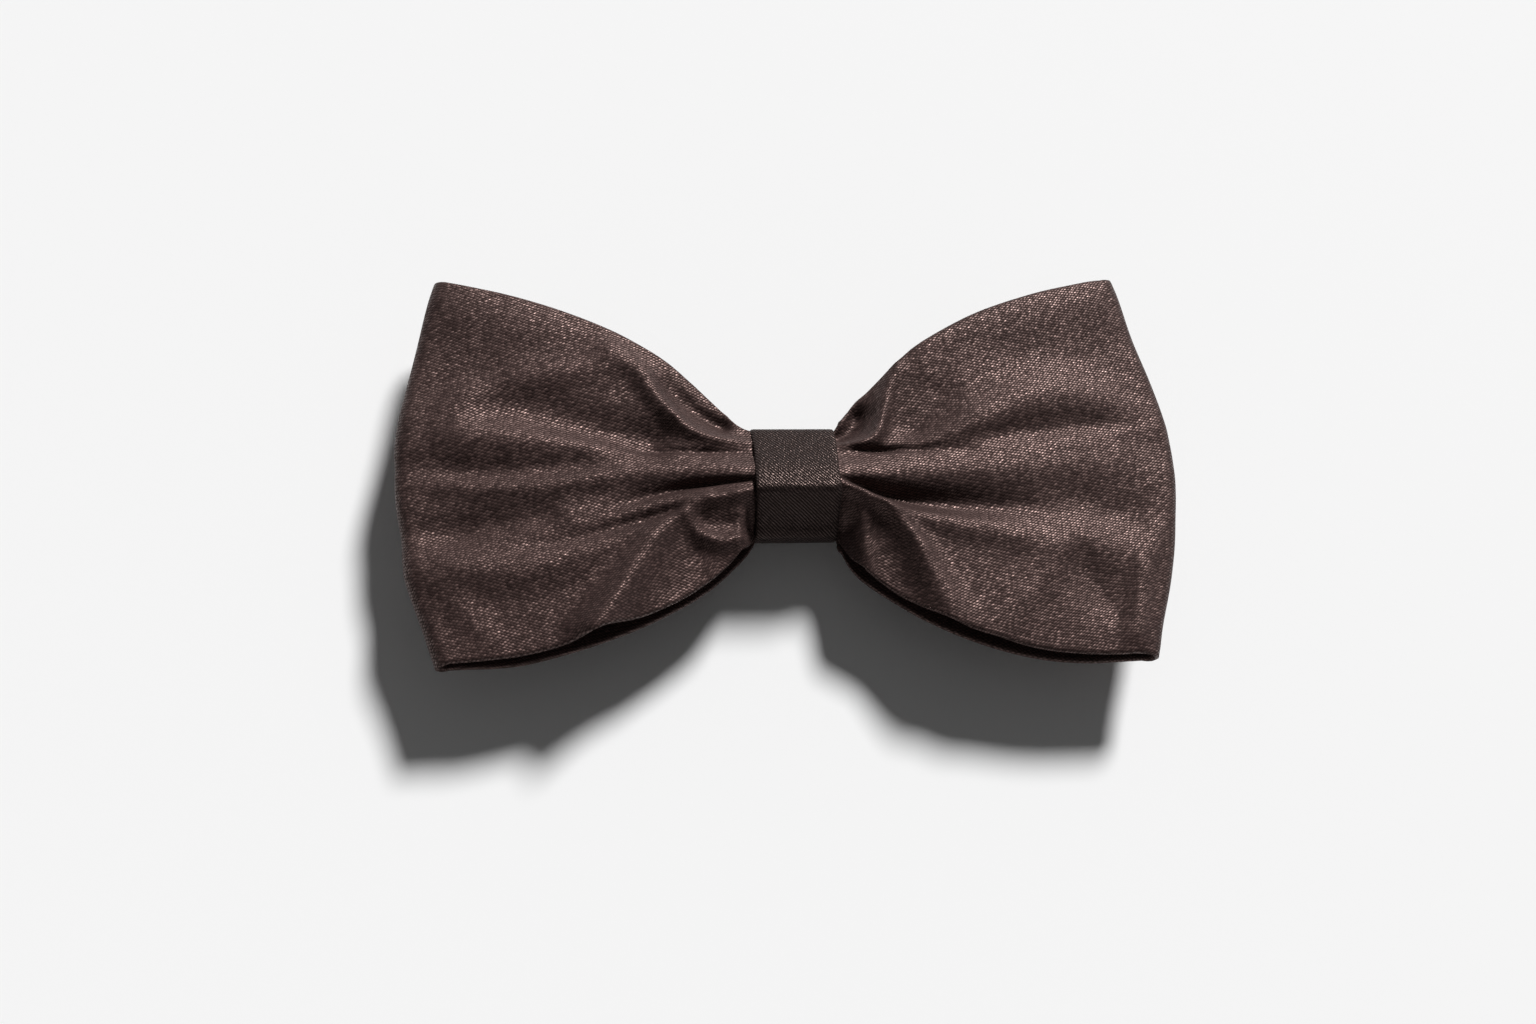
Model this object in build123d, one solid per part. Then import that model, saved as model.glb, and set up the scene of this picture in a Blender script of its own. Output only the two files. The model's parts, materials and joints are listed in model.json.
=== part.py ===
"""A pre-tied bow tie with an adjustable neckband, lying face up on its folded band.

Millimetres. X runs across the bow, Y up the bow, Z out of its front; Z = 0 is the surface it lies on.
"""

import os
from math import asin, cos, pi, sin

from build123d import *

# Bow: a flattened tube of cloth, folded into a loop and gathered at the middle.
bow_width = 122.0
bow_height = 64.0
corner_reach = 54.5
fold_radius = 2.0
fold_top = 13.0
layers = {"shell": 0.5, "interlining": 0.4, "lining": 0.4}
ply_thickness = sum(layers.values())

# The waist is the gathered middle of the bow, inside the knot, which sits a little low between the wings.
waist_y = -3.0
waist_half_height = 6.8
waist_half_length = 7.5
pleat_middle = 14.1
pleat_depth = 0.7
pleat_count = 3
wing_puff = 1.2
flare_power = 4.0
early_flare = 0.65
back_overlap = 3.0
back_low = 7.6

# Knot: a strip of twill over a stiffener, round the waist and the band.
knot_width = 13.6
knot_half_height = 9.0
knot_low = 4.8
knot_high = 16.85
knot_cloth = 0.95
knot_stiffener = 0.45

# Neckband: on each side a strap folded to and fro in five panels.
band_width = 15.0
band_thickness = 0.7
panel_count = 5
root_x = 8.1
inner_fold_x = 12.5
outer_fold_x = 46.5
hinge_gap = 0.5
left_levels = [6.65, 5.3, 3.95, 2.6, 0.35]
right_levels = [6.65, 5.65, 4.65, 3.65, 1.95]

# Metal fittings.
wire_radius = 0.5
bar_clearance = 0.06
loop_inner = wire_radius + bar_clearance
loop_outer = loop_inner + band_thickness + 0.14
fitting_pivot_x = 50.6
fitting_width = 18.0
eye_reach = 5.2
hook_reach = 4.8
hook_gap = 1.3
tongue_length = 2.4
tongue_sheet = 0.6
slider_start = 15.0
slider_length = 10.0
slider_bar = 1.3
slider_sheet = 0.6
thread = 0.25

# Worked out from the dimensions above.
half_width = bow_width / 2
half_height = bow_height / 2
edge_sagitta = half_width - corner_reach
edge_radius = (half_height**2 + edge_sagitta**2) / (2 * edge_sagitta)
edge_centre = half_width - edge_radius
edge_angle = asin(half_height / edge_radius)
ply_radius = edge_radius - fold_radius
ply_reach = edge_centre + ply_radius
fold_middle = fold_top - fold_radius
fold_low = fold_top - 2 * fold_radius


def smoothstep(value):
    """0 below 0, 1 above 1, and a smooth rise between."""
    t = min(max(value, 0.0), 1.0)
    return t * t * (3 - 2 * t)


def wing_share(c):
    """How far out a point is along the wing: 0 in the waist, 1 at the outer fold."""
    return max(abs(c) - waist_half_length, 0.0) / (ply_reach - waist_half_length)


def wing_plan(c, v):
    """Plan position of a point c along the bow's middle line and v from its lower to its upper edge."""
    angle = v * edge_angle
    reach = edge_centre + ply_radius * cos(angle)
    u = wing_share(c)
    flare = early_flare * (1 - (1 - u) ** flare_power) + (1 - early_flare) * u
    y = (waist_y + v * waist_half_height) * (1 - flare) + ply_radius * sin(angle) * flare
    return c * reach / ply_reach, y


def front_height(c, v):
    """The face of the front ply: pleated at the waist, puffed in the wing, flat at the outer fold."""
    u = wing_share(c)
    base = pleat_middle + (fold_top - pleat_middle) * smoothstep(u)
    puff = wing_puff * sin(pi * u) * (1 - v * v)
    pleats = pleat_depth * cos(pleat_count * pi * v) * (1 - u) ** 2
    return base + puff + pleats


def back_height(c, v):
    """The outer face of a back ply, which lies lower at the waist than at the outer fold."""
    return back_low + (fold_low - back_low) * smoothstep(wing_share(c))


def lifted_back_height(c, v):
    """As back_height, raised at the waist to lie on the other back ply's end."""
    lift = smoothstep((waist_half_length + 1 - c) / 4)
    return back_height(c, v) + lift * (ply_thickness + 0.15)


def patch(start, end, height, columns=48, rows=24):
    """A smooth face over the plan of the bow from c = start to c = end."""
    grid = []
    for i in range(columns + 1):
        c = start + (end - start) * i / columns
        line = []
        for j in range(rows + 1):
            v = 2 * j / rows - 1
            line.append((*wing_plan(c, v), height(c, v)))
        grid.append(line)
    return Face.make_surface_from_array_of_points(grid, tol=0.02)


def stacked_ply(face, direction):
    """The layers of a ply, each one laid on the last, from the outer face inwards."""
    made = {}
    depth = 0.0
    for layer, thickness in layers.items():
        moved = face.moved(Location((0, 0, direction * depth)))
        made[layer] = Solid.extrude(moved, (0, 0, direction * thickness))
        depth += thickness
    return made


def outer_fold(side):
    """Where all layers turn from the front ply to the back ply, along the wing's curved outer edge."""
    with BuildPart() as fold:
        with BuildSketch(Plane.XZ):
            with Locations((ply_reach, fold_middle)):
                Circle(fold_radius)
                Circle(fold_radius - ply_thickness, mode=Mode.SUBTRACT)
            with Locations((ply_reach - fold_radius, fold_middle)):
                Rectangle(2 * fold_radius, 4 * fold_radius, mode=Mode.SUBTRACT)
        axis = Axis((edge_centre, 0, 0), (0, 0, 1))
        revolve(axis=axis, revolution_arc=2 * edge_angle * 180 / pi)
    turned = fold.part.rotate(axis, -edge_angle * 180 / pi)
    return turned if side > 0 else turned.mirror(Plane.YZ)


def rounded_ring(half_y, low, high, front_radius, back_radius, wall, x_low, x_high):
    """A flat tube along X with its wall inside half_y, low and high."""
    faces = []
    for inset in (0.0, wall):
        with BuildSketch(Plane.YZ) as sketch:
            with Locations((0, (low + high) / 2)):
                Rectangle(2 * (half_y - inset), high - low - 2 * inset)
            fillet(sketch.vertices().group_by(Axis.Y)[0], back_radius - inset)
            fillet(sketch.vertices().group_by(Axis.Y)[-1], front_radius - inset)
        faces.append(sketch.sketch)
    ring = extrude(faces[0], x_high - x_low) - extrude(faces[1], x_high - x_low)
    return ring.moved(Location((x_low, 0, 0)))


def block(x_low, x_high, half_y, z_low, z_high):
    """A flat slab centred on Y = 0."""
    centre = ((x_low + x_high) / 2, 0, (z_low + z_high) / 2)
    return Pos(*centre) * Box(x_high - x_low, 2 * half_y, z_high - z_low)


def stitch_row(places, length, along_x):
    """Short raised threads with their lowest points at the given places."""
    size = (length, thread, thread) if along_x else (thread, length, thread)
    return Compound([Pos(x, y, z + thread / 2) * Box(*size) for x, y, z in places])


def waist_pieces():
    """The parts hidden in the knot: gathering thread and the stitches of the overlapped back plies."""
    turns = [
        rounded_ring(7.35, 7.1, 15.35, 1.45, 0.7, 0.42, x - 0.25, x + 0.25)
        for x in (-1.2, -0.6, 0.0, 0.6, 1.2)
    ]
    seam_top = back_low + 2 * ply_thickness + 0.15
    seam = [(0, y, seam_top) for y in (-5.0, -2.5, 0.0, 2.5, 5.0)]
    return {
        "gathering_thread": Compound(turns),
        "centre_back_stitches": stitch_row(seam, 3.0, along_x=True),
    }


def knot_pieces():
    """The knot's twill wrap, its stiffener and the stitches that close it at the back."""
    half = knot_width / 2
    wrap = rounded_ring(knot_half_height, knot_low, knot_high, 3.2, 1.7, knot_cloth, -half, half)
    stiffener = rounded_ring(
        knot_half_height - knot_cloth,
        knot_low + knot_cloth,
        knot_high - knot_cloth,
        2.25,
        0.75,
        knot_stiffener,
        -half + 0.6,
        half - 0.6,
    )
    closing = [(x, 2.0, knot_low - thread) for x in (-5.0, -2.5, 0.0, 2.5, 5.0)]
    return {
        "knot_wrap": wrap,
        "knot_stiffener": stiffener,
        "knot_closing_stitches": stitch_row(closing, 2.4, along_x=False),
    }


def band_centre_pieces():
    """The stretch of band inside the knot, and the threads that hold it to the back of the bow."""
    reach = root_x - 0.3
    low = left_levels[0] - band_thickness / 2
    tack_low = low + band_thickness
    tacks = [
        Pos(x, y, tack_low) * Cylinder(thread, back_low - tack_low, align=(Align.CENTER, Align.CENTER, Align.MIN))
        for x in (-7.3, 7.3)
        for y in (-5.0, 0.0, 5.0)
    ]
    return {
        "band_centre": block(-reach, reach, band_width / 2, low, tack_low),
        "band_tack_stitches": Compound(tacks),
    }


def panel(side, index, level, end_x=None):
    """One flat panel of the folded band, short of the fold lines at its ends."""
    near = root_x + 0.3 if index == 0 else inner_fold_x + hinge_gap
    far = end_x or outer_fold_x - hinge_gap
    low, high = sorted((side * near, side * far))
    return block(low, high, band_width / 2, level - band_thickness / 2, level + band_thickness / 2)


def end_loop(x, level_low):
    """A turn of band round a fitting's bar, as a short tube along Y."""
    tube = Cylinder(loop_outer, band_width) - Cylinder(loop_inner, band_width)
    return Pos(x, 0, level_low + loop_outer) * Rot(90, 0, 0) * tube


def left_end_panel():
    """The last left panel with its end turned round the eye's bar and sewn back on itself."""
    level = left_levels[-1]
    low = level - band_thickness / 2
    pivot = -fitting_pivot_x
    flat = block(pivot, -inner_fold_x - hinge_gap, band_width / 2, low, low + band_thickness)
    turned_low = low + band_thickness + 0.1
    turned = block(pivot + loop_inner + 0.2, pivot + 7.5, band_width / 2, turned_low, turned_low + band_thickness)
    bar_space = Pos(pivot, 0, low + loop_outer) * Rot(90, 0, 0) * Cylinder(loop_inner, 2 * band_width)
    return flat + end_loop(pivot, low) + turned - bar_space


def hook_end():
    """The tail of the right band: round the hook's bar and back beneath, towards the slider."""
    pivot = fitting_pivot_x
    tail = block(slider_start + 1.0, pivot, band_width / 2, 0, band_thickness)
    bar_space = Pos(pivot, 0, loop_outer) * Rot(90, 0, 0) * Cylinder(loop_inner, 2 * band_width)
    return tail + end_loop(pivot, 0) - bar_space


def bar_tack(x, z):
    """A dense row of stitches across the band."""
    places = [(x, -6.0 + 1.0 * k, z) for k in range(13)]
    return stitch_row(places, 1.6, along_x=True)


def slider():
    """Slide adjuster: the band passes under both end bars and over the centre bar."""
    low, high = 0.85, 3.05
    end = slider_start + slider_length
    side_width = (fitting_width - band_width) / 2 - 0.4
    made = []
    for y in (-1, 1):
        centre = (slider_start + end) / 2
        y_middle = y * (fitting_width - side_width) / 2
        made.append(Pos(centre, y_middle, (low + high) / 2) * Box(slider_length, side_width, high - low))
    for x in (slider_start, end - slider_bar):
        made.append(block(x, x + slider_bar, fitting_width / 2, high - slider_sheet, high))
    middle = (slider_start + end - slider_bar) / 2
    made.append(block(middle, middle + slider_bar, fitting_width / 2, low, low + slider_sheet))
    frame = made[0] + made[1] + made[2] + made[3] + made[4]
    corners = frame.edges().filter_by(Axis.Z).group_by(Axis.X)
    return fillet(corners[0] + corners[-1], 0.5)


def wire_frame(reach):
    """A rectangle of round wire in the XY plane, with one long side on the Y axis."""
    path = Pos(reach / 2, 0, 0) * RectangleRounded(reach, fitting_width - 2 * wire_radius, 0.9)
    outline = path.wire()
    section = Plane(origin=outline @ 0, z_dir=outline % 0) * Circle(wire_radius)
    return sweep(section, path=outline)


def hook_tongue():
    """The J of the hook: a strip that runs out from the frame and turns back over it."""
    turn_x = hook_reach + tongue_length
    turn_z = (hook_gap + tongue_sheet) / 2
    with BuildPart() as tongue:
        with BuildSketch(Plane.XZ):
            with Locations(((hook_reach + turn_x) / 2, 0)):
                Rectangle(turn_x - hook_reach, tongue_sheet)
            with Locations(((turn_x + hook_reach - 0.6) / 2, 2 * turn_z)):
                Rectangle(turn_x - hook_reach + 0.6, tongue_sheet)
            with Locations((turn_x, turn_z)):
                Circle(turn_z + tongue_sheet / 2)
                Circle(hook_gap / 2, mode=Mode.SUBTRACT)
            with Locations((turn_x - turn_z, turn_z)):
                Rectangle(2 * turn_z, hook_gap, mode=Mode.SUBTRACT)
        extrude(amount=2.5, both=True)
    return tongue.part


def laid_fitting(fitting, reach, half_thickness, side):
    """Turns a fitting about its bar until its free end rests on the surface, and puts it in its loop."""
    tilt = asin((loop_outer - half_thickness) / reach) * 180 / pi
    placed = Pos(fitting_pivot_x, 0, loop_outer) * Rot(0, tilt, 0) * fitting
    return placed if side > 0 else placed.mirror(Plane.YZ)


def bow_pieces():
    """The cloth, interlining and lining of the bow, and the folds at its two ends."""
    made = {}
    front = stacked_ply(patch(-ply_reach, ply_reach, front_height, columns=96), -1)
    right_back = stacked_ply(patch(-back_overlap, ply_reach, lifted_back_height), 1)
    left_back = stacked_ply(patch(-back_overlap, ply_reach, back_height), 1)
    for layer in layers:
        made[f"front_{layer}"] = front[layer]
        made[f"right_back_{layer}"] = right_back[layer]
        made[f"left_back_{layer}"] = left_back[layer].mirror(Plane.YZ)
    made["right_outer_fold"] = outer_fold(1)
    made["left_outer_fold"] = outer_fold(-1)
    return made


def band_pieces():
    """Both sides of the folded neckband, with their metal fittings and bar tacks."""
    made = {}
    for k in range(panel_count - 1):
        made[f"left_band_{k + 1}"] = panel(-1, k, left_levels[k])
        made[f"right_band_{k + 1}"] = panel(1, k, right_levels[k])
    made["left_band_end"] = left_end_panel()
    made["right_band_end"] = panel(1, panel_count - 1, right_levels[-1], fitting_pivot_x - loop_outer - 0.2)
    made["hook_end_loop"] = hook_end()
    made["left_bar_tack"] = bar_tack(-fitting_pivot_x + 5.5, 2 * band_thickness + 0.1)
    made["right_bar_tack"] = bar_tack(33.0, band_thickness)
    made["slider"] = slider()
    made["eye"] = laid_fitting(wire_frame(eye_reach), eye_reach, wire_radius, -1)
    hook = wire_frame(hook_reach) + hook_tongue()
    made["hook"] = laid_fitting(hook, hook_reach + tongue_length + hook_gap, tongue_sheet / 2, 1)
    return made


def build():
    """Every piece of the bow tie by node name."""
    made = bow_pieces()
    centred = {**waist_pieces(), **knot_pieces(), **band_centre_pieces(), **band_pieces()}
    for name, shape in centred.items():
        made[name] = shape.moved(Location((0, waist_y, 0)))
    return made


os.makedirs("parts", exist_ok=True)
for name, shape in build().items():
    export_step(shape, f"parts/{name}.step")
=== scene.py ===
import json
from math import cos, pi, radians, sin

import bpy
import numpy as np
from mathutils import Matrix, Vector


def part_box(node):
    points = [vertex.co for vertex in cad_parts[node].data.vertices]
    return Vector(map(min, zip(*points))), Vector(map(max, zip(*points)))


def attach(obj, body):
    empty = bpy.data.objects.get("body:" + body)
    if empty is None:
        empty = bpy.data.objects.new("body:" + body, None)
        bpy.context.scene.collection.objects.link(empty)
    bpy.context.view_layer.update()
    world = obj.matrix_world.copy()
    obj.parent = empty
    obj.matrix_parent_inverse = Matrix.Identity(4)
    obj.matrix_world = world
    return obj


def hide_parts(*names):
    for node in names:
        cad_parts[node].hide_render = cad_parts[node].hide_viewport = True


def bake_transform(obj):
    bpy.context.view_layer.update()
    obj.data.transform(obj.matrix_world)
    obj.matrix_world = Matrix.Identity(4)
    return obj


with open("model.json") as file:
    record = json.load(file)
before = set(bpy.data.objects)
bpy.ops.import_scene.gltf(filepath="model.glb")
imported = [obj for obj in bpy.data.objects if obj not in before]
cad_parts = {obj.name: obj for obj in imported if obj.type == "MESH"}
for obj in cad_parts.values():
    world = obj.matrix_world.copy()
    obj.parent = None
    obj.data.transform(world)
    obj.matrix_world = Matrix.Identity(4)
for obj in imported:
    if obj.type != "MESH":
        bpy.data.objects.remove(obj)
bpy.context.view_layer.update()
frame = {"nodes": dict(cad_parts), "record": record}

# Sizes are in millimetres and are turned to metres when a mesh is made.
MM = 0.001
CLOTH_THICKNESS = 0.8
FOLD_RADIUS = 2.0
FOLD_MIDDLE = 11.0
BAND_THICKNESS = 0.7
BAND_WIDTH = 15.0
TACK_PITCH = 0.8
THREAD_SIDES = 8
THREAD_STEPS = 6

# The neckband's middle line, its hinges and the bars of its fittings.
BAND_Y = -3.0
ROOT_X = 8.1
INNER_FOLD_X = 12.5
OUTER_FOLD_X = 46.5
HINGE_GAP = 0.5
PIVOT_X = 50.6
PIVOT_Z = 1.4
LOOP_RADIUS = 0.98

# The bow's mesh: points across a ply, columns along a wing, and steps round its outer fold.
ROWS = 129
WING_COLUMNS = 110
TURN_STEPS = 15
WAIST_COLUMNS = 12
FOLD_SAMPLES = 160
EDGE_SAMPLES = 400

# Heights of the cloth. A crest lies beside its path, by a share of its half-width.
WAIST_TOP = 14.8
WAIST_CREST_Y = -3.5
WAIST_TILT = 0.26
BACK_AT_WAIST = 6.9
WING_LEVEL = 13.5
WING_CROWN = 0.4
EDGE_DROP = 0.25
FOLD_DEPTH = 1.35
LIT_OFFSET = 0.45
PINCH_DEPTH = 0.105
PINCH_WIDTH = 6.9
PINCH_START_X = 6.4
PINCH_REACH = 3.4
PLY_GAP = 0.4

# Looks. The grain's tilt is the range of the sideways parts of its normals.
GRAIN_ANGLE = radians(40)
GRAIN_LENGTH = 0.60
GRAIN_WIDTH = 0.40
GRAIN_TILT = 0.13
TWILL_ANGLE = radians(47)
TWILL_PITCH = 0.42
KEY_STRENGTH = 4.4
KEY_DIRECTION = (-0.42, -0.82, -0.80)
WORLD_HORIZON = 0.95
WORLD_TOP = 0.07

# The camera: its place in metres, its line of sight, its right-hand side, and its lens.
CAMERA_PLACE = (-0.0429, -0.1138, 0.2728)
CAMERA_FORWARD = (0.1342, 0.372, -0.9185)
CAMERA_RIGHT = (0.9909, -0.0576, 0.1214)
CAMERA_LENS = 43.6

BODIES = frame["record"]["behaviour"]["bodies"]
KNOT_EASE = 0.35
KNOT_HALF = 1000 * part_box("knot_wrap")[1].x - KNOT_EASE
KNOT_SHIFT = -0.3

# ---------------------------------------------------------------- shapes of the two wings

# Each wing is described with X pointing outwards from the knot and Y up the bow.
RIGHT = {
    "top": [
        (6, 4.9), (7.6, 6.6), (10, 10), (15, 14.9), (20, 19.2), (30, 25), (40, 28.7), (48, 30.7),
        (52.4, 31.6),
    ],
    "bottom": [
        (6, -10.4), (7, -13.2), (8.3, -15.8), (10.4, -18.2), (15, -21.8), (20, -25.2), (27, -28.4),
        (35, -30.8), (43, -31.8), (52, -31.9),
    ],
    "outer": [
        (52.4, 31.6), (54.8, 22), (57.2, 13), (58.7, 4), (58.7, -3), (57.6, -11), (55.7, -19.5),
        (53.2, -27), (52, -31.9),
    ],
}
LEFT = {
    "top": [
        (6, 4.8), (8.4, 5.9), (11, 8.6), (13.4, 11.2), (16, 13.8), (20, 17.2), (27, 21.6), (35, 25.2),
        (44, 28.1), (53.2, 30.2),
    ],
    "bottom": [
        (6, -10.2), (7.2, -12.4), (9.5, -15), (14, -19), (20, -22.8), (27, -26), (36, -29), (44, -30.8),
        (52.8, -31.4),
    ],
    "outer": [
        (53.2, 30.2), (55.8, 20), (57.7, 11), (58.8, 2), (58.8, -5), (58.0, -12), (56.4, -20), (54.2, -27),
        (52.8, -31.4),
    ],
}

# A fold is a ridge, or with a height below zero a furrow. Each has its path, the half-widths along
# it and the heights along it.
RIGHT_FOLDS = [
    ([(6, -1.4), (15, -1.2), (28, -1.0), (42, 0.4), (55, 1.6)], (2.3, 2.8, 4.0), (0.7, 0.7, 0.4)),
    (
        [(7, -4.0), (10, -4.5), (14, -5.3), (20, -6.1), (30, -6.9), (42, -7.4)],
        (0.35, 0.7, 1.4, 2.0, 2.6),
        (-0.2, -1.3, -1.7, -1.2, -0.2),
    ),
    ([(13, -7.6), (20, -9.4), (30, -11.0), (40, -13.0), (52, -13.4)], (0.9, 2.4, 3.8), (0.7, 0.5, 0.4)),
    (
        [(7, -4.8), (11, -6.4), (15, -9.4), (18, -13.2), (20, -17.5), (23.5, -24.5)],
        (0.8, 1.2, 1.8, 2.8),
        (0.6, 1.2, 1.3, 0.8),
    ),
    ([(10, -9.5), (13, -13), (17, -19)], (2.0, 2.6), (-0.4, -0.5)),
    ([(8, 1.5), (13, 1.6), (20, 1.7), (30, 2.0)], (0.3, 0.4, 1.2), (-0.2, -1.1, -0.6, 0.0)),
    (
        [(6, 3.2), (10, 2.9), (13, 4.2), (14.5, 8), (15.6, 12), (17.5, 16.5)],
        (1.0, 1.2, 1.6),
        (0.2, 1.2, 1.3, 1.1, 0.8),
    ),
    ([(8.0, 5.6), (10, 6.8), (11.2, 8.8)], (1.7, 1.9), (-2.0, -1.8)),
    ([(20, 7), (24, 12)], (3.0, 3.4), (-0.8, -0.6)),
    (
        [(18, 2.6), (25, 4.6), (32, 8.4), (39, 11.8), (48, 12.6), (57, 9.4)],
        (1.6, 3.2, 4.4, 3.4),
        (0.4, 1.0, 1.0, 0.5),
    ),
    ([(24, 3.0), (34, 4.9), (46, 6.2), (55, 6.2)], (1.2, 1.9, 2.0), (-0.2, -0.4, -0.3)),
    ([(30, 1.6), (40, 2.8), (50, 4.6), (58, 6.0)], (1.2, 1.8), (0.1, 0.4)),
    ([(46, -6), (52, -8), (57, -7.5)], (3.2, 3.2), (-0.5, -0.5)),
    ([(58.4, -2), (57.2, -10), (54.2, -18), (51.2, -28)], (2.0, 2.0), (0.5, 0.9, 0.8)),
    ([(44, -15.5), (47.5, -22)], (3.0, 3.0), (-0.7, -0.6)),
    ([(41, -15), (35, -21), (30, -27)], (3.0, 3.5), (0.5, 0.6)),
    ([(22, 21), (32, 25.5), (42, 28.5), (53, 31)], (4.0, 6.5), (0.4, 0.9)),
]
LEFT_FOLDS = [
    (
        [(6, 3.2), (11, 3.6), (15, 4.8), (18, 7.4), (20.5, 10.8), (23, 15.5), (27, 19.5)],
        (0.9, 1.4, 2.2),
        (0.2, 0.9, 1.2, 1.0, 0.6),
    ),
    ([(10.5, 6.6), (13, 8.0), (16, 10.4), (19, 13.2)], (1.1, 1.6), (-1.1, -0.5)),
    ([(8, 1.3), (14, 1.4), (22, 1.8), (30, 3.0)], (0.28, 0.4, 1.2), (-0.1, -0.5, -0.5, 0.0)),
    (
        [(6, -1.4), (15, -1.2), (24, -1.7), (34, -3.2), (44, -4.2), (56, -3.2)],
        (2.1, 2.0, 1.6, 1.6),
        (0.7, 0.7, 0.6, 0.5),
    ),
    ([(18, 1.2), (27, 2.2), (35, 3.4), (43, 4.8), (51, 5.6), (58, 5.6)], (1.0, 2.4, 4.8), (0.2, 0.8, 1.5)),
    ([(32, -0.6), (40, -1.0), (50, -0.8), (58, 0.2)], (1.2, 1.8), (-0.2, -0.5)),
    ([(21, 4.4), (28, 6.4), (36, 9.2), (43, 12)], (2.8, 4.2), (-1.2, -0.6)),
    ([(28, 16.6), (36, 15.6), (45, 13), (56, 9.6)], (2.6, 3.0), (0.5, 0.7)),
    (
        [(7, -3.9), (12, -4.0), (18, -4.5), (24, -6.0), (31, -8.4)],
        (0.3, 0.45, 0.8, 1.5),
        (-0.5, -1.2, -0.7, -0.1),
    ),
    ([(14, -5.9), (20, -6.8), (28, -8.2), (38, -9.6)], (1.0, 1.4, 2.2), (0.5, 0.4, 0.1)),
    ([(19, -8.2), (24, -9.8), (32, -12.0), (42, -13.8)], (0.6, 0.8, 1.2), (-0.7, -0.5, -0.1)),
    ([(24, -11.0), (33, -14.8), (44, -16.6), (57, -15.0)], (2.2, 3.6), (0.5, 1.1)),
    (
        [(17.4, -8.4), (20.4, -11), (23.4, -15.4), (26.4, -20.4), (30, -26)],
        (1.4, 2.4, 3.0),
        (0.7, 1.8, 2.8),
    ),
    ([(7, -5.6), (12, -6.4), (16, -7.4)], (1.1, 1.1), (1.0, 0.8)),
    ([(17, -9.2), (15.2, -11.9), (12, -13.2), (8.5, -12.8)], (1.0, 1.2), (0.8, 0.9)),
    ([(10, -9.8), (13.5, -10.0)], (1.4, 1.4), (-0.6, -0.5)),
    ([(15.5, -14.5), (18.5, -19.5)], (2.2, 2.2), (-0.5, -0.4)),
    ([(56, -17), (50, -23), (45, -28)], (2.0, 2.2), (0.4, 0.25)),
    ([(38, -8.4), (46, -9.6), (53, -10.4), (58, -9.6)], (1.8, 3.0), (-0.5, -1.1)),
    ([(30, 22), (40, 26), (53, 30)], (4.0, 6.5), (0.3, 0.8)),
]
BACK_FOLDS = [
    ([(6, 2), (20, 5), (38, 9)], (1.2, 3.0), (-0.7, -0.2)),
    ([(6, -3), (20, -3), (45, -2)], (1.2, 3.0), (0.8, 0.3)),
    ([(6, -7), (20, -12), (36, -18)], (1.2, 3.0), (-0.7, -0.2)),
]

# The knot's section as (y, z) points, from its upper edge over the crest and round the back.
KNOT_PROFILE = [
    (5.7, 10.6), (5.65, 12.0), (5.2, 12.8), (4.0, 13.4), (2.0, 14.25), (0.0, 15.05), (-1.8, 15.75),
    (-3.2, 16.15), (-4.6, 16.45), (-5.6, 16.6), (-6.3, 16.3), (-7.1, 15.2), (-8.5, 13.0), (-9.9, 11.0),
    (-10.8, 10.0), (-11.35, 9.0), (-11.3, 6.9), (-10.6, 5.5), (-9.6, 4.95), (-3.0, 4.85), (3.0, 4.9),
    (5.2, 5.6), (6.0, 7.2), (5.95, 9.0),
]


def smooth_path(points, count):
    """Points along a Catmull-Rom curve through the given ones, evenly spaced in its own parameter."""
    p = np.asarray(points, float)
    p = np.vstack([2 * p[0] - p[1], p, 2 * p[-1] - p[-2]])
    span = np.linspace(0, len(points) - 1, count)
    k = np.minimum(span.astype(int), len(points) - 2)
    t = (span - k)[:, None]
    a, b, c, d = p[k], p[k + 1], p[k + 2], p[k + 3]
    return 0.5 * (2 * b + (c - a) * t + (2 * a - 5 * b + 4 * c - d) * t**2 + (3 * b - a - 3 * c + d) * t**3)


def smoothstep(value):
    t = np.clip(value, 0.0, 1.0)
    return t * t * (3 - 2 * t)


def fold_height(x, y, path, widths, heights, lit_from=(0.0, 0.0)):
    """The height that one fold adds. Its path runs on the lit side, so the crest is beside it."""
    line = smooth_path(path, FOLD_SAMPLES)
    share = np.linspace(0, 1, len(line))
    across = np.interp(share, np.linspace(0, 1, len(widths)), widths)[:, None]
    line = line - across * np.array(lit_from)
    square = (x[..., None] - line[:, 0]) ** 2 + (y[..., None] - line[:, 1]) ** 2
    at = share[square.argmin(-1)]
    width = np.interp(at, np.linspace(0, 1, len(widths)), widths)
    height = np.interp(at, np.linspace(0, 1, len(heights)), heights)
    return height * np.exp(-square.min(-1) / width**2)


def wing_plan(wing):
    """Plan positions over a wing as a Coons patch between its waist, its long edges and its outer edge."""
    u = np.linspace(0, 1, WING_COLUMNS)[:, None] ** 1.15
    w = np.linspace(0, 1, ROWS)[None, :]
    top = smooth_path(wing["top"], EDGE_SAMPLES)
    bottom = smooth_path(wing["bottom"], EDGE_SAMPLES)
    outer = smooth_path(wing["outer"], EDGE_SAMPLES)[::-1]

    def along(line, at):
        reach = np.concatenate([[0], np.cumsum(np.hypot(*np.diff(line, axis=0).T))])
        return np.stack([np.interp(at, reach / reach[-1], line[:, k]) for k in range(2)], -1)

    t_edge, b_edge, o_edge = along(top, u), along(bottom, u), along(outer, w)
    i_edge = bottom[0] + (top[0] - bottom[0]) * w[..., None]
    u3, w3 = u[..., None], w[..., None]
    corners = (1 - u3) * ((1 - w3) * bottom[0] + w3 * top[0]) + u3 * ((1 - w3) * bottom[-1] + w3 * top[-1])
    return (1 - u3) * i_edge + u3 * o_edge + (1 - w3) * b_edge + w3 * t_edge - corners


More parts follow.
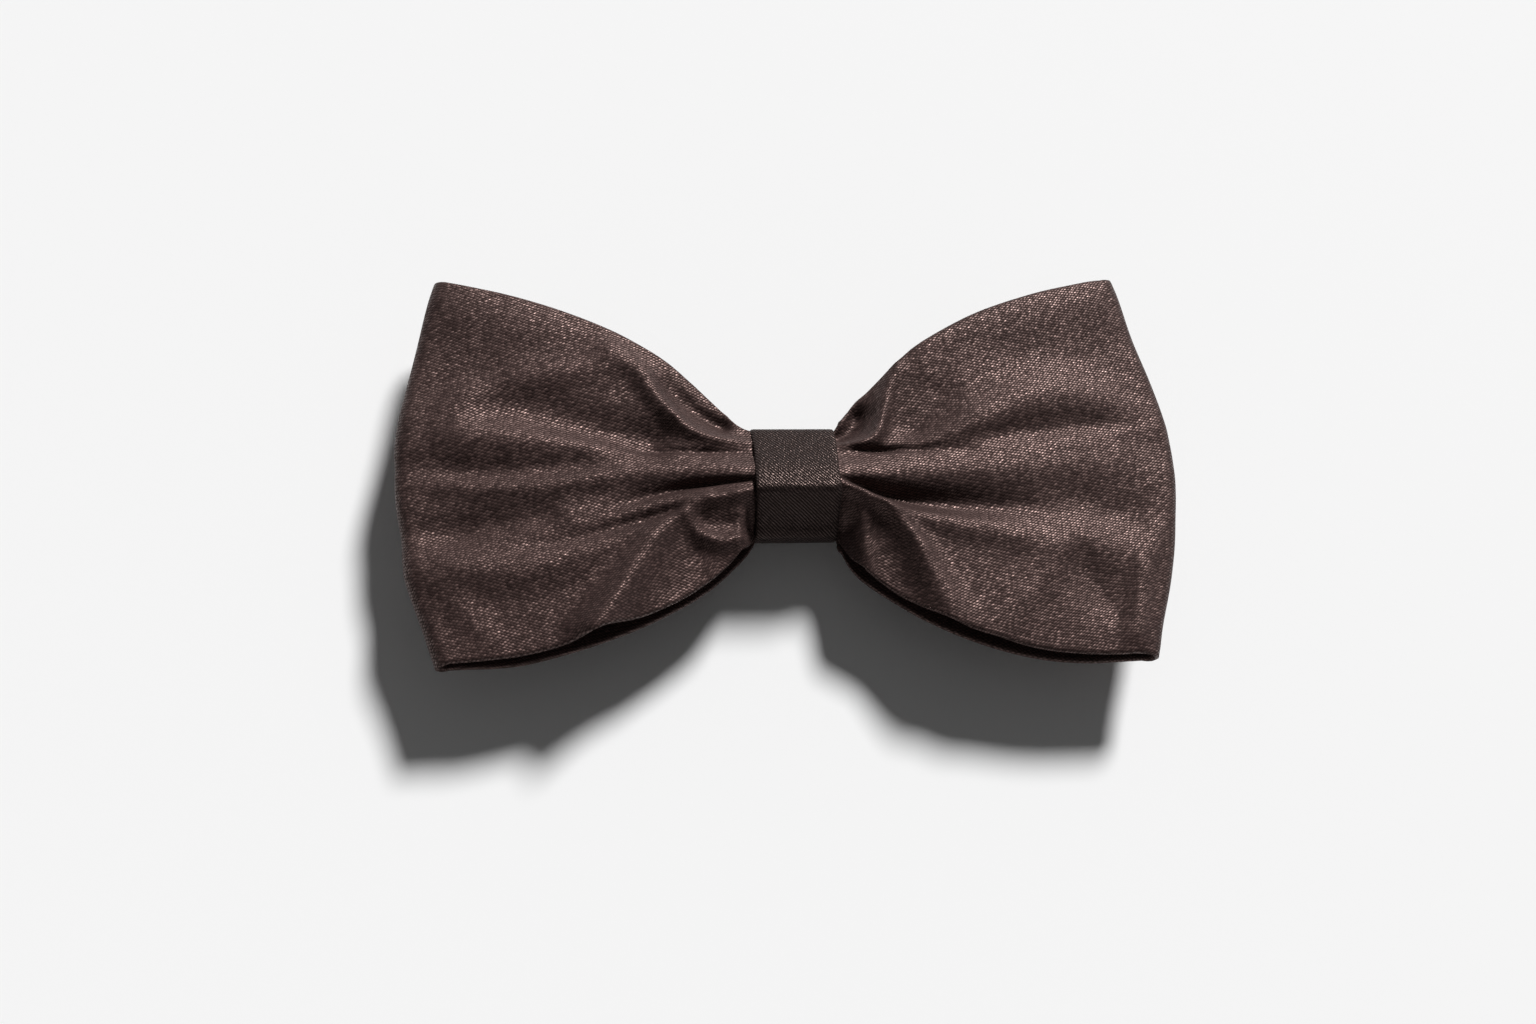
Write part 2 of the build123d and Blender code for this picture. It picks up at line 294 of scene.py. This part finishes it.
def waist_height(y):
    """How high the gathered cloth lies close to the knot."""
    below = np.maximum(WAIST_CREST_Y - y, 0.0)
    above = np.maximum(y - WAIST_CREST_Y, 0.0)
    return WAIST_TOP - 0.013 * below**2 - WAIST_TILT * above


def knot_pinch(x, y):
    """How far the knot presses the cloth down right where it enters."""
    below = np.clip(WAIST_CREST_Y - y, 0.0, PINCH_WIDTH)
    return PINCH_DEPTH * below**2 * (1 - smoothstep((x - PINCH_START_X) / PINCH_REACH))


def front_height(x, y, w, folds, lit_from):
    """The face of the front ply of a wing."""
    out = smoothstep((x - 6) / 16)
    near_end = smoothstep((x - 40) / 17)
    crown = WING_CROWN * np.sin(pi * np.clip((x - 6) / 52, 0, 1)) * (1 - (2 * w - 1) ** 2)
    wing = WING_LEVEL + crown
    z = waist_height(y) * (1 - out) + wing * out
    z = z * (1 - near_end) + (FOLD_MIDDLE + FOLD_RADIUS) * near_end
    edge = np.abs(2 * w - 1) ** 5
    z = z - EDGE_DROP * edge * out * (1 - near_end) - knot_pinch(x, y)
    fade = 1 - smoothstep((x - 50) / 8)
    for path, widths, heights in folds:
        ridge = fold_height(x, y, path, widths, heights, lit_from)
        z = z + FOLD_DEPTH * ridge * (0.35 + 0.65 * fade)
    return z


def soften(z, times):
    """A few passes of a small blur, which keeps the borders."""
    for _ in range(times):
        inner = z[1:-1, 1:-1]
        around = z[:-2, 1:-1] + z[2:, 1:-1] + z[1:-1, :-2] + z[1:-1, 2:]
        z = z.copy()
        z[1:-1, 1:-1] = 0.5 * inner + 0.125 * around
    return z


def wing_columns(wing, folds, lit_from):
    """Columns of one wing from the waist out over the face, round the outer fold and back to the waist."""
    w = np.linspace(0, 1, ROWS)[None, :]
    plan = wing_plan(wing)
    x, y = plan[..., 0], plan[..., 1]
    z = soften(front_height(x, y, w, folds, lit_from), 3)
    front = np.stack([x, y, z], -1)

    end = front[-1]
    tangent = np.gradient(end[:, :2], axis=0)
    normal = np.stack([tangent[:, 1], -tangent[:, 0]], -1)
    normal /= np.linalg.norm(normal, axis=1)[:, None]
    radius = (end[:, 2:] - (FOLD_MIDDLE - FOLD_RADIUS)) / 2
    turn = []
    for angle in np.linspace(pi / 2, -pi / 2, TURN_STEPS)[1:]:
        out = end[:, :2] + normal * radius * cos(angle)
        height = end[:, 2:] - radius + radius * sin(angle)
        turn.append(np.hstack([out, height]))

    near = smoothstep((x - 7) / 14)
    below = BACK_AT_WAIST + (FOLD_MIDDLE - FOLD_RADIUS - BACK_AT_WAIST) * near
    for path, widths, heights in BACK_FOLDS:
        below = below + fold_height(x, y, path, widths, heights) * (1 - smoothstep((x - 40) / 14))
    below = soften(np.minimum(below, z - 2 * CLOTH_THICKNESS - PLY_GAP), 12)
    shows = smoothstep((x - 8) / 10) * (1 - smoothstep((x - 40) / 14))
    back = np.stack([x, y - 0.4 * (1 - w) ** 6 * shows, below], -1)[-2::-1]
    return np.concatenate([front, np.array(turn), back])


def waist_columns(left, right, count):
    """Columns across the waist inside the knot, from the left wing's first to the right wing's first."""
    t = np.linspace(0, 1, count + 2)[1:-1, None, None]
    return left[None] * (1 - t) + right[None] * t


def unit(v):
    return v / np.maximum(np.linalg.norm(v, axis=-1, keepdims=True), 1e-9)


def cloth_tube(name, grid, thickness, rim=0.3):
    """A ply of cloth: the grid is its outer face, with an inner face below and rounded long edges."""
    along = np.gradient(grid, axis=0)
    across = np.gradient(grid, axis=1)
    normal = unit(np.cross(along, across))
    inner = grid - normal * thickness
    middle = grid - normal * thickness / 2
    low_rim = middle[:, :1] - unit(across[:, :1]) * rim
    high_rim = middle[:, -1:] + unit(across[:, -1:]) * rim
    ring = np.concatenate([grid, high_rim, inner[:, ::-1], low_rim], axis=1)
    n, m = ring.shape[:2]

    length = np.concatenate([[0], np.cumsum(np.linalg.norm(np.diff(grid[:, ROWS // 2], axis=0), axis=1))])
    step = np.linalg.norm(np.diff(grid, axis=1), axis=-1)
    width = np.concatenate([np.zeros((n, 1)), np.cumsum(step, axis=1)], axis=1)
    width -= width[:, width.shape[1] // 2][:, None]
    width = np.concatenate([width, width[:, -1:] + rim, width[:, ::-1], width[:, :1] - rim], axis=1)
    uv = np.stack([np.broadcast_to(length[:, None], width.shape), width], -1)

    faces = []
    for i in range(n - 1):
        for j in range(m):
            k = (j + 1) % m
            faces.append((i * m + j, (i + 1) * m + j, (i + 1) * m + k, i * m + k))
    for i in (0, n - 1):
        for j in range(ROWS - 1):
            opposite = 2 * ROWS - j
            quad = (i * m + j, i * m + j + 1, i * m + opposite - 1, i * m + opposite)
            faces.append(quad if i == 0 else quad[::-1])
    return make_mesh(name, ring.reshape(-1, 3), faces, uv.reshape(-1, 2))


def make_mesh(name, points, faces, uv=None, smooth=True):
    """A mesh object from points in millimetres, with its weave coordinates in millimetres."""
    mesh = bpy.data.meshes.new(name)
    mesh.from_pydata([tuple(p) for p in np.asarray(points) * MM], [], faces)
    if uv is not None:
        layer = mesh.uv_layers.new(name="weave")
        index = np.zeros(len(mesh.loops), int)
        mesh.loops.foreach_get("vertex_index", index)
        layer.data.foreach_set("uv", np.asarray(uv, float)[index].ravel())
    mesh.polygons.foreach_set("use_smooth", [smooth] * len(mesh.polygons))
    mesh.update()
    made = bpy.data.objects.new(name, mesh)
    bpy.context.scene.collection.objects.link(made)
    return made


# ---------------------------------------------------------------- materials


def new_material(name):
    material = bpy.data.materials.new(name)
    material.use_nodes = True
    tree = material.node_tree
    return material, tree, tree.nodes["Principled BSDF"]


def node(tree, kind, **settings):
    made = tree.nodes.new(kind)
    for key, value in settings.items():
        setattr(made, key, value)
    return made


def math_node(tree, operation, a, b=None, c=None):
    made = node(tree, "ShaderNodeMath", operation=operation)
    for socket, value in zip(made.inputs, (a, b, c)):
        if value is None:
            continue
        if isinstance(value, (int, float)):
            socket.default_value = value
        else:
            tree.links.new(value, socket)
    return made.outputs[0]


def mapped_uv(tree, angle, long, short, shear=0.5):
    """Weave coordinates turned by an angle, in units of one grain along and across, with rows offset."""
    uv = node(tree, "ShaderNodeUVMap", uv_map="weave")
    split = node(tree, "ShaderNodeSeparateXYZ")
    tree.links.new(uv.outputs[0], split.inputs[0])
    x, y = split.outputs[0], split.outputs[1]

    def turned(x_share, y_share):
        from_x = math_node(tree, "MULTIPLY", x, x_share)
        from_y = math_node(tree, "MULTIPLY", y, y_share)
        return math_node(tree, "ADD", from_x, from_y)

    a = turned(cos(angle) / long, sin(angle) / long)
    b = turned(-sin(angle) / short, cos(angle) / short)
    joined = node(tree, "ShaderNodeCombineXYZ")
    tree.links.new(math_node(tree, "ADD", a, math_node(tree, "MULTIPLY", b, shear)), joined.inputs[0])
    tree.links.new(b, joined.inputs[1])
    return uv.outputs[0], joined.outputs[0]


def colour_ramp(tree, factor, stops):
    ramp = node(tree, "ShaderNodeValToRGB")
    elements = ramp.color_ramp.elements
    while len(elements) < len(stops):
        elements.new(0.5)
    for element, (position, colour) in zip(elements, stops):
        element.position = position
        element.color = (*colour, 1)
    tree.links.new(factor, ramp.inputs[0])
    return ramp.outputs[0]


def ranged(tree, value, low, high, to_low=0.0, to_high=1.0):
    """A value taken smoothly from one range to another."""
    made = node(tree, "ShaderNodeMapRange", interpolation_type="SMOOTHSTEP")
    for socket, number in zip(("From Min", "From Max", "To Min", "To Max"), (low, high, to_low, to_high)):
        made.inputs[socket].default_value = number
    tree.links.new(value, made.inputs["Value"])
    return made.outputs[0]


def noise_2d(tree, vector, scale, detail=2.0):
    made = node(tree, "ShaderNodeTexNoise", noise_dimensions="2D")
    made.inputs["Scale"].default_value = scale
    made.inputs["Detail"].default_value = detail
    tree.links.new(vector, made.inputs["Vector"])
    return made.outputs[0]


def grain_cloth(name):
    """Satin-like cloth of small slanted grains, tilted so that some of them glint, with painted shade in the
    gaps between them and a painted glint in each grain's colour.
    """
    material, tree, shader = new_material(name)
    plain, grains = mapped_uv(tree, GRAIN_ANGLE, GRAIN_LENGTH, GRAIN_WIDTH)
    cells = node(tree, "ShaderNodeTexVoronoi", voronoi_dimensions="2D", feature="F1")
    cells.inputs["Scale"].default_value = 1.0
    cells.inputs["Randomness"].default_value = 0.28
    tree.links.new(grains, cells.inputs["Vector"])
    chance = node(tree, "ShaderNodeSeparateXYZ")
    tree.links.new(cells.outputs["Color"], chance.inputs[0])

    # Each grain's dome also sets its colour: darker towards the grain's edge, as painted shade in the gaps
    # between grains.
    dome = ranged(tree, cells.outputs["Distance"], 0.60, 0.12)
    broad = noise_2d(tree, plain, 0.10, 3.0)
    # Each grain's random share in the colour, from 0.42 to 0.80, is a painted glint that differs from grain
    # to grain.
    tone = math_node(tree, "MULTIPLY", dome, ranged(tree, chance.outputs[0], 0, 1, 0.42, 0.80))
    patchy = math_node(tree, "MULTIPLY", math_node(tree, "SUBTRACT", broad, 0.5), 0.3)
    tone = math_node(tree, "ADD", tone, patchy)
    colour = colour_ramp(
        tree,
        tone,
        [
            (0.0, (0.003, 0.0016, 0.0017)),
            (0.30, (0.018, 0.0098, 0.0098)),
            (0.62, (0.044, 0.0255, 0.0245)),
            (1.0, (0.11, 0.070, 0.060)),
        ],
    )
    tree.links.new(colour, shader.inputs["Base Color"])
    lustre = ranged(tree, chance.outputs[1], 0, 1, 0.30, 0.44)
    dull = math_node(tree, "MULTIPLY", math_node(tree, "SUBTRACT", 1.0, dome), 0.5)
    tree.links.new(math_node(tree, "ADD", lustre, dull), shader.inputs["Roughness"])

    tilts = node(tree, "ShaderNodeCombineXYZ")
    for k, turn in enumerate((chance.outputs[2], chance.outputs[0])):
        tilt = math_node(tree, "MULTIPLY_ADD", turn, GRAIN_TILT, 0.5 - GRAIN_TILT / 2)
        tree.links.new(tilt, tilts.inputs[k])
    tilts.inputs[2].default_value = 1.0
    facets = node(tree, "ShaderNodeNormalMap", space="TANGENT", uv_map="weave")
    tree.links.new(tilts.outputs[0], facets.inputs["Color"])
    bump = node(tree, "ShaderNodeBump")
    bump.inputs["Strength"].default_value = 0.6
    bump.inputs["Distance"].default_value = 0.00005
    tree.links.new(dome, bump.inputs["Height"])
    tree.links.new(facets.outputs[0], bump.inputs["Normal"])
    tree.links.new(bump.outputs[0], shader.inputs["Normal"])
    shader.inputs["Specular IOR Level"].default_value = 0.7
    shader.inputs["Specular Tint"].default_value = (1.0, 0.66, 0.59, 1)
    return material


def twill_cloth(name):
    """Fine diagonal twill, each line broken into short floats."""
    material, tree, shader = new_material(name)
    plain, lines = mapped_uv(tree, TWILL_ANGLE, 0.9, TWILL_PITCH, shear=0.0)
    split = node(tree, "ShaderNodeSeparateXYZ")
    tree.links.new(lines, split.inputs[0])
    wobble = math_node(tree, "MULTIPLY", noise_2d(tree, plain, 1.2), 0.35)
    phase = math_node(tree, "MULTIPLY", math_node(tree, "ADD", split.outputs[1], wobble), 2 * pi)
    ridge = ranged(tree, math_node(tree, "SINE", phase), -0.7, 0.9)
    fleck = noise_2d(tree, lines, 1.7)
    # Where the twill sinks between its lines, the colour is darker too: painted shade in the troughs. The
    # flecks are the cloth's own uneven tone.
    tone = math_node(tree, "MULTIPLY", ridge, ranged(tree, fleck, 0.25, 0.75, 0.35, 1.0))
    # These colours are far darker than the wings' cloth: partly the knot's own darker twill, and partly
    # painted shade, so that its lower face stays near black in spite of light from the pale floor.
    stops = [(0.0, (0.0015, 0.001, 0.001)), (0.45, (0.007, 0.0044, 0.0046)), (1.0, (0.032, 0.021, 0.021))]
    colour = colour_ramp(tree, tone, stops)
    tree.links.new(colour, shader.inputs["Base Color"])
    bump = node(tree, "ShaderNodeBump")
    bump.inputs["Strength"].default_value = 1.0
    bump.inputs["Distance"].default_value = 0.00007
    tree.links.new(tone, bump.inputs["Height"])
    tree.links.new(bump.outputs[0], shader.inputs["Normal"])
    tree.links.new(ranged(tree, ridge, 0, 1, 0.95, 0.27), shader.inputs["Roughness"])
    shader.inputs["Specular IOR Level"].default_value = 0.5
    shader.inputs["Specular Tint"].default_value = (1.0, 0.70, 0.62, 1)
    return material


def thread_material(name):
    material, tree, shader = new_material(name)
    place = node(tree, "ShaderNodeTexCoord")
    noise = node(tree, "ShaderNodeTexNoise")
    noise.inputs["Scale"].default_value = 4000.0
    tree.links.new(place.outputs["Object"], noise.inputs["Vector"])
    colour = colour_ramp(tree, noise.outputs[0], [(0.3, (0.012, 0.008, 0.007)), (0.7, (0.05, 0.033, 0.03))])
    tree.links.new(colour, shader.inputs["Base Color"])
    shader.inputs["Roughness"].default_value = 0.6
    return material


def nickel(name):
    """Bright nickel plate with faint marks from handling."""
    material, tree, shader = new_material(name)
    place = node(tree, "ShaderNodeTexCoord")
    noise = node(tree, "ShaderNodeTexNoise")
    noise.inputs["Scale"].default_value = 900.0
    noise.inputs["Detail"].default_value = 6.0
    tree.links.new(place.outputs["Object"], noise.inputs["Vector"])
    colour = colour_ramp(tree, noise.outputs[0], [(0.3, (0.55, 0.54, 0.52)), (0.7, (0.72, 0.71, 0.69))])
    tree.links.new(colour, shader.inputs["Base Color"])
    rough = node(tree, "ShaderNodeMapRange")
    rough.inputs["To Min"].default_value = 0.16
    rough.inputs["To Max"].default_value = 0.34
    tree.links.new(noise.outputs[0], rough.inputs["Value"])
    tree.links.new(rough.outputs[0], shader.inputs["Roughness"])
    shader.inputs["Metallic"].default_value = 1.0
    return material


def floor_material():
    material, _, shader = new_material("pale_floor")
    shader.inputs["Base Color"].default_value = (0.9, 0.9, 0.9, 1)
    shader.inputs["Roughness"].default_value = 0.9
    return material


def finish_piece(piece, material, shown_for):
    """Gives a piece its material and its slot, and hides the CAD nodes that it stands for."""
    piece.data.materials.append(material)
    if shown_for:
        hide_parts(*shown_for)


# ---------------------------------------------------------------- stage


def make_stage():
    """A white floor, one soft key light from the upper right, and a world that is pale near the horizon."""
    bpy.ops.mesh.primitive_plane_add(size=40, location=(0, 0, -0.00003))
    floor = bpy.context.object
    floor.name = "floor"
    floor.data.materials.append(floor_material())

    world = bpy.data.worlds.new("studio")
    bpy.context.scene.world = world
    world.use_nodes = True
    tree = world.node_tree
    tree.nodes["Background"].inputs[0].default_value = (1, 1, 1, 1)
    place = node(tree, "ShaderNodeTexCoord")
    split = node(tree, "ShaderNodeSeparateXYZ")
    tree.links.new(place.outputs["Generated"], split.inputs[0])
    strength = ranged(tree, split.outputs[2], 0.02, 0.28, WORLD_HORIZON, WORLD_TOP)
    tree.links.new(strength, tree.nodes["Background"].inputs[1])

    key = bpy.data.lights.new("key", "SUN")
    key.energy = KEY_STRENGTH
    key.angle = radians(13)
    lamp = bpy.data.objects.new("key", key)
    bpy.context.scene.collection.objects.link(lamp)
    lamp.rotation_euler = Vector(KEY_DIRECTION).to_track_quat("-Z", "Y").to_euler()

    bpy.context.scene.view_settings.view_transform = "Standard"


def make_camera():
    """The camera looks down at the face of the bow from in front, turned a little about its axis."""
    data = bpy.data.cameras.new("camera")
    data.lens = CAMERA_LENS
    data.sensor_width = 36
    data.clip_start = 0.01
    camera = bpy.data.objects.new("camera", data)
    bpy.context.scene.collection.objects.link(camera)
    right = Vector(CAMERA_RIGHT)
    forward = Vector(CAMERA_FORWARD).normalized()
    up = right.cross(forward).normalized()
    right = forward.cross(up)
    camera.matrix_world = Matrix((right, up, -forward)).transposed().to_4x4()
    camera.location = CAMERA_PLACE
    bpy.context.scene.camera = camera


# ---------------------------------------------------------------- pieces


def mirrored(columns):
    """The same columns on the other side of the knot."""
    return columns * np.array([-1.0, 1.0, 1.0])


def make_bow(material):
    """The whole loop of cloth, from the end of the left back ply round to the end of the right one."""
    right = wing_columns(RIGHT, RIGHT_FOLDS, (LIT_OFFSET, LIT_OFFSET))
    left = mirrored(wing_columns(LEFT, LEFT_FOLDS, (-LIT_OFFSET, LIT_OFFSET)))
    waist = waist_columns(left[0], right[0], WAIST_COLUMNS)
    grid = np.concatenate([left[::-1], waist, right])
    piece = cloth_tube("bow_cloth", grid, CLOTH_THICKNESS)
    bow_nodes = [n for n in BODIES["bow"] if n.startswith(("front_", "left_", "right_"))]
    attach(piece, "bow")
    finish_piece(piece, material, bow_nodes)


def make_knot(material):
    """The strip of twill wrapped round the waist, with soft rolled side edges."""
    around = smooth_path(KNOT_PROFILE + [KNOT_PROFILE[0]], 141)[:-1]
    tangent = np.roll(around, -1, axis=0) - np.roll(around, 1, axis=0)
    outward = unit(np.stack([-tangent[:, 1], tangent[:, 0]], -1))
    if (outward[40] @ (around[40] - around.mean(0))) < 0:
        outward = -outward
    length = np.concatenate([[0], np.cumsum(np.linalg.norm(np.diff(around, axis=0), axis=1))])
    columns = []
    uv = []
    sections = [(-1.0, 0.9), (-1.012, 0.55), (-1.0, 0.2), (-0.975, 0.04)]
    sections += [(s, 0.0) for s in np.linspace(-0.92, 0.92, 25)]
    sections += [(-s, d) for s, d in sections[3::-1]]
    for share, depth in sections:
        ring = around - outward * depth
        waver = 0.10 * np.sin(0.55 * ring[:, 0] + (1.2 if share < 0 else 0.0))
        columns.append(np.column_stack([KNOT_SHIFT + share * KNOT_HALF + waver, ring[:, 0], ring[:, 1]]))
        uv.append(np.column_stack([np.full(len(around), share * KNOT_HALF), length]))
    points = np.concatenate(columns)
    n = len(around)
    faces = []
    for i in range(len(sections) - 1):
        for j in range(n):
            k = (j + 1) % n
            faces.append((i * n + j, i * n + k, (i + 1) * n + k, (i + 1) * n + j))
    piece = make_mesh("knot_cloth", points, faces, np.concatenate(uv))
    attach(piece, "bow")
    finish_piece(piece, material, ["knot_wrap", "knot_stiffener", "gathering_thread"])


def ribbon(name, path, side):
    """A strip of folded and pressed cloth along a path of (x outwards, z) points, with soft edges."""
    half_width = BAND_WIDTH / 2
    line = np.asarray(path, float)
    tangent = unit(np.gradient(line, axis=0))
    normal = np.stack([-tangent[:, 1], tangent[:, 0]], -1)
    length = np.concatenate([[0], np.cumsum(np.linalg.norm(np.diff(line, axis=0), axis=1))])
    h = BAND_THICKNESS / 2
    groove = half_width - 1.3
    section = [(-half_width, 0.0), (-half_width + 0.08, 0.6 * h), (-half_width + 0.3, 0.95 * h)]
    section += [(-groove - 0.28, h), (-groove, 0.72 * h), (-groove + 0.28, h)]
    section += [(t * (groove - 1), h * (1 - 0.06 * (1 - t * t))) for t in np.linspace(-1, 1, 9)]
    section += [(groove - 0.28, h), (groove, 0.72 * h), (groove + 0.28, h)]
    section += [(half_width - 0.3, 0.95 * h), (half_width - 0.08, 0.6 * h), (half_width, 0.0)]
    section += [(y, -z) for y, z in section[-2:0:-1]]
    section = np.array(section)
    points = []
    for centre, out in zip(line, normal):
        x = side * (centre[0] + out[0] * section[:, 1])
        points.append(np.column_stack([x, BAND_Y + section[:, 0], centre[1] + out[1] * section[:, 1]]))
    n, m = len(line), len(section)
    uv = np.stack([np.repeat(length, m), np.tile(section[:, 0], n)], -1)
    faces = []
    for i in range(n - 1):
        for j in range(m):
            k = (j + 1) % m
            quad = (i * m + j, i * m + k, (i + 1) * m + k, (i + 1) * m + j)
            faces.append(quad if side > 0 else quad[::-1])
    caps = (tuple(range(m))[::-1], tuple((n - 1) * m + j for j in range(m)))
    faces += caps if side > 0 else [c[::-1] for c in caps]
    return make_mesh(name, np.concatenate(points), faces, uv)


def straight(x_start, x_end, z, step=1.0):
    count = max(int(abs(x_end - x_start) / step), 2) + 1
    return [(x, z) for x in np.linspace(x_start, x_end, count)]


def arc(x, z, radius, start, end, count=14):
    """Points on part of a circle in the XZ plane; angles in degrees from +X towards +Z."""
    angles = [radians(t) for t in np.linspace(start, end, count)]
    return [(x + radius * cos(t), z + radius * sin(t)) for t in angles]


def panel_level(side_name, k):
    """The height of the middle of panel k, counted from 1."""
    node_name = f"{side_name}_band_{k}" if k < 5 else f"{side_name}_band_end"
    low = 1000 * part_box(node_name)[0].z
    return low + BAND_THICKNESS / 2


def make_band(side, material):
    """One side of the neckband: flat panels, and a turn of cloth round each fold."""
    side_name = "right" if side > 0 else "left"
    levels = [panel_level(side_name, k) for k in range(1, 6)]
    for k in range(1, 5):
        near = ROOT_X + 1.2 if k == 1 else INNER_FOLD_X + HINGE_GAP
        path = straight(near, OUTER_FOLD_X - HINGE_GAP, levels[k - 1])
        piece = ribbon(f"{side_name}_band_{k}_cloth", path, side)
        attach(piece, f"{side_name}_panel_{k}")
        finish_piece(piece, material, [f"{side_name}_band_{k}"])

        upper, lower = levels[k - 1], levels[k]
        radius = (upper - lower) / 2
        middle = (upper + lower) / 2
        at_outer = k % 2 == 1
        fold_x = OUTER_FOLD_X if at_outer else INNER_FOLD_X
        inwards = -1 if at_outer else 1
        turn = [(fold_x + inwards * HINGE_GAP, upper)]
        turn += arc(fold_x, middle, radius, 90, -90 if at_outer else 270, 17)
        turn += [(fold_x + inwards * HINGE_GAP, lower)]
        piece = ribbon(f"{side_name}_fold_{k}_cloth", turn, side)
        piece.data.materials.append(material)
        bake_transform(piece)

    root = ribbon(f"{side_name}_root_cloth", straight(ROOT_X - 1.2, ROOT_X + 1.2, levels[0], 0.2), side)
    root.data.materials.append(material)
    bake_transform(root)
    return levels


def make_left_end(level, material):
    """The last left panel, with its end turned round the eye's bar and sewn back on itself."""
    path = straight(INNER_FOLD_X + HINGE_GAP, PIVOT_X, level)
    path += arc(PIVOT_X, PIVOT_Z, LOOP_RADIUS, -85, 95, 22)
    path += [(49.6, 2.24), (48.7, 1.9), (47.9, 1.45), (47.0, 1.18)] + straight(46.2, 43.1, level + 0.8)
    piece = ribbon("left_band_end_cloth", path, -1)
    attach(piece, "left_panel_5")
    finish_piece(piece, material, ["left_band_end"])


def make_right_end(level, material):
    """The last right panel through the slider, and the loop round the hook's bar with its tail below."""
    piece = ribbon("right_band_end_cloth", straight(INNER_FOLD_X + HINGE_GAP, 48.4, level), 1)
    piece.data.materials.append(material)
    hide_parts("right_band_end")
    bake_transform(piece)

    path = straight(16.0, PIVOT_X, BAND_THICKNESS / 2)
    path += arc(PIVOT_X, PIVOT_Z, LOOP_RADIUS, -85, 95, 22)
    path += [(49.8, 2.28), (49.1, 2.08), (48.4, level)]
    piece = ribbon("hook_end_cloth", path, 1)
    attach(piece, "hook_end")
    finish_piece(piece, material, ["hook_end_loop"])


def threads_mesh(name, runs, material, shown_for, body="bow", radius=0.12):
    """Short raised threads: each run is a start, an end and how high its middle stands."""
    points = []
    faces = []
    for start, end, bulge in runs:
        start, end, bulge = (np.array(v, float) for v in (start, end, bulge))
        t = np.linspace(0, 1, THREAD_STEPS + 1)[:, None]
        line = start * (1 - t) + end * t + bulge * np.sin(pi * t)
        along = unit(np.gradient(line, axis=0))
        side = unit(np.cross(along, [0.3, 0.2, 1.0]))
        up = np.cross(side, along)
        base = len(points)
        for centre, s, u, share in zip(line, side, up, t[:, 0]):
            r = radius * (0.55 + 0.45 * sin(pi * share) ** 0.5)
            for q in range(THREAD_SIDES):
                turn = 2 * pi * q / THREAD_SIDES
                points.append(centre + r * (s * cos(turn) + u * sin(turn)))
        for i in range(THREAD_STEPS):
            near = base + i * THREAD_SIDES
            far = near + THREAD_SIDES
            for q in range(THREAD_SIDES):
                n = (q + 1) % THREAD_SIDES
                faces.append((near + q, near + n, far + n, far + q))
        last = base + THREAD_STEPS * THREAD_SIDES
        faces.append(tuple(base + q for q in range(THREAD_SIDES))[::-1])
        faces.append(tuple(last + q for q in range(THREAD_SIDES)))
    piece = make_mesh(name, points, faces)
    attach(piece, body)
    finish_piece(piece, material, shown_for)


def bar_tack(x, z):
    """Runs of thread side by side over the width of the band, 1.6 mm long and standing up a little."""
    return [((x - 0.8, y, z), (x + 0.8, y, z), (0, 0, 0.1)) for y in np.arange(-9.0, 3.6, TACK_PITCH)]


def make_stitches(material):
    """The stitches that show: the two bar tacks of the band, and those that close the knot at the back."""
    threads_mesh("left_bar_tack_threads", bar_tack(-45.1, 1.52), material, ["left_bar_tack"], "left_panel_5")
    threads_mesh("right_bar_tack_threads", bar_tack(33.0, 0.72), material, ["right_bar_tack"], "hook_end")
    closing = []
    for x in np.arange(-5.6, 5.7, 1.4):
        closing.append(((x - 0.25, -2.2, 4.75), (x + 0.25, 0.2, 4.75), (0, 0, -0.12)))
    threads_mesh("knot_closing_threads", closing, material, ["knot_closing_stitches"])


make_stage()
make_camera()
cloth = grain_cloth("grain_cloth")
twill = twill_cloth("knot_twill")
band = grain_cloth("band_cloth")
threads = thread_material("thread")
metal = nickel("nickel")

make_bow(cloth)
make_knot(twill)
centre = ribbon("band_centre_cloth", straight(-6.9, 6.9, 6.65), 1)
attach(centre, "bow")
finish_piece(centre, band, ["band_centre"])
left_levels = make_band(-1, band)
right_levels = make_band(1, band)
make_left_end(left_levels[-1], band)
make_right_end(right_levels[-1], band)
make_stitches(threads)

for name, piece in frame["nodes"].items():
    piece.data.materials.clear()
    piece.data.materials.append(metal if name in ("slider", "hook", "eye") else threads)
